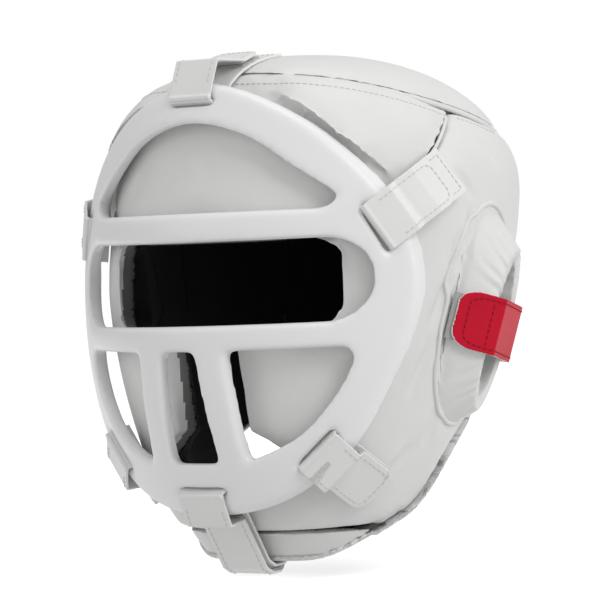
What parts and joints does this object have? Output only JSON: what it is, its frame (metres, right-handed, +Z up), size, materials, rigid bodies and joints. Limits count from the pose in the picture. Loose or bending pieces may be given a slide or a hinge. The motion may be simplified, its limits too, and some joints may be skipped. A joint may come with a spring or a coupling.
{
  "type": "boxing headgear",
  "caption": "Padded boxing headgear with a moulded face grille held by hook-and-loop straps, padded ear rings and a back closure.",
  "frame": {"origin": "middle of the space for the head, at eye height, on the plane of symmetry", "axes": "+Z up through the crown, -Y the way the wearer looks, +X towards the wearer's left"},
  "size_m": [0.255, 0.2512, 0.2804],
  "materials": {
    "white_leather": "smooth matt PU-coated synthetic leather",
    "red_leather": "satin red PU-coated synthetic leather",
    "black_lining": "brushed towelling",
    "foam": "closed-cell foam",
    "grille_plastic": "moulded satin plastic",
    "strap_leather": "white PU-coated strap",
    "hook_tape": "moulded hook tape",
    "loop_tape": "brushed loop tape"
  },
  "bodies": {
    "shell": {"chin_cover": "white_leather", "chin_foam": "foam", "chin_strap_base": "strap_leather", "chin_strap_loop": "loop_tape", "crown_cover": "white_leather", "crown_foam": "foam", "ear_ring_cover_left": "white_leather", "ear_ring_cover_right": "white_leather", "ear_ring_foam_left": "foam", "ear_ring_foam_right": "foam", "ear_strap_loop_left": "loop_tape", "ear_strap_loop_right": "loop_tape", "face_grille": "grille_plastic", "face_opening_edge": "white_leather", "forehead_cover": "white_leather", "forehead_foam": "foam", "head_lining": "black_lining", "jaw_strap_base_left": "strap_leather", "jaw_strap_base_right": "strap_leather", "jaw_strap_loop_left": "loop_tape", "jaw_strap_loop_right": "loop_tape", "neck_binding": "white_leather", "side_cover_left": "white_leather", "side_cover_right": "white_leather", "side_foam_left": "foam", "side_foam_right": "foam", "temple_strap_base_left": "strap_leather", "temple_strap_base_right": "strap_leather", "temple_strap_loop_left": "loop_tape", "temple_strap_loop_right": "loop_tape", "top_strap_base": "strap_leather", "top_strap_loop": "loop_tape"},
    "rear_wing_left": {"rear_cover_left": "white_leather", "rear_foam_left": "foam", "rear_lining_left": "black_lining", "rear_binding_left": "white_leather"},
    "rear_wing_right": {"rear_cover_right": "white_leather", "rear_foam_right": "foam", "rear_lining_right": "black_lining", "rear_binding_right": "white_leather", "back_strap_loop": "loop_tape"},
    "back_flap": {"back_strap_flap": "strap_leather", "back_strap_hook": "hook_tape"},
    "top_flap": {"top_strap_flap": "strap_leather", "top_strap_hook": "hook_tape"},
    "chin_flap": {"chin_strap_flap": "strap_leather", "chin_strap_hook": "hook_tape"},
    "temple_flap_left": {"temple_strap_flap_left": "strap_leather", "temple_strap_hook_left": "hook_tape"},
    "temple_flap_right": {"temple_strap_flap_right": "strap_leather", "temple_strap_hook_right": "hook_tape"},
    "jaw_flap_left": {"jaw_strap_flap_left": "strap_leather", "jaw_strap_hook_left": "hook_tape"},
    "jaw_flap_right": {"jaw_strap_flap_right": "strap_leather", "jaw_strap_hook_right": "hook_tape"},
    "ear_flap_left": {"ear_strap_flap_left": "red_leather", "ear_strap_hook_left": "hook_tape"},
    "ear_flap_right": {"ear_strap_flap_right": "red_leather", "ear_strap_hook_right": "hook_tape"}
  },
  "joints": [
    {"name": "top_flap_peel", "type": "hinge", "parent": "shell", "child": "top_flap", "pos_m": [0, -0.11008, 0.10519], "axis": [1, 0, 0], "range_deg": [0, 140]},
    {"name": "chin_flap_peel", "type": "hinge", "parent": "shell", "child": "chin_flap", "pos_m": [0, -0.11619, -0.10505], "axis": [-1, 0, 0], "range_deg": [0, 140]},
    {"name": "temple_flap_peel_left", "type": "hinge", "parent": "shell", "child": "temple_flap_left", "pos_m": [0.09961, -0.0823, 0.03309], "axis": [0.4273, 0.357, -0.8307], "range_deg": [0, 140]},
    {"name": "temple_flap_peel_right", "type": "hinge", "parent": "shell", "child": "temple_flap_right", "pos_m": [-0.09961, -0.0823, 0.03309], "axis": [0.4273, -0.357, 0.8307], "range_deg": [0, 140]},
    {"name": "jaw_flap_peel_left", "type": "hinge", "parent": "shell", "child": "jaw_flap_left", "pos_m": [0.06829, -0.10135, -0.08303], "axis": [-0.6877, -0.2669, -0.6752], "range_deg": [0, 140]},
    {"name": "jaw_flap_peel_right", "type": "hinge", "parent": "shell", "child": "jaw_flap_right", "pos_m": [-0.06829, -0.10135, -0.08303], "axis": [-0.6877, 0.2669, 0.6752], "range_deg": [0, 140]},
    {"name": "ear_flap_peel_left", "type": "hinge", "parent": "shell", "child": "ear_flap_left", "pos_m": [0.08042, 0.04622, -0.02828], "axis": [0.1902, 0.2259, 0.9554], "range_deg": [0, 110]},
    {"name": "ear_flap_peel_right", "type": "hinge", "parent": "shell", "child": "ear_flap_right", "pos_m": [-0.08042, 0.04622, -0.02828], "axis": [0.1902, -0.2259, -0.9554], "range_deg": [0, 110]},
    {"name": "back_flap_peel", "type": "hinge", "parent": "rear_wing_left", "child": "back_flap", "pos_m": [0.046, 0.10047, 0.01365], "axis": [0, -0.1131, -0.9936], "range_deg": [0, 120]},
    {"name": "rear_wing_spread_left", "type": "hinge", "parent": "shell", "child": "rear_wing_left", "pos_m": [0.0895, 0.0552, 0], "axis": [0, -0.2425, -0.9701], "range_deg": [0, 20]},
    {"name": "rear_wing_spread_right", "type": "hinge", "parent": "shell", "child": "rear_wing_right", "pos_m": [-0.0895, 0.0552, 0], "axis": [0, 0.2425, 0.9701], "range_deg": [0, 20]}
  ],
  "couplings": [
    {"joint": "rear_wing_spread_right", "follows": "rear_wing_spread_left", "ratio": 1}
  ]
}
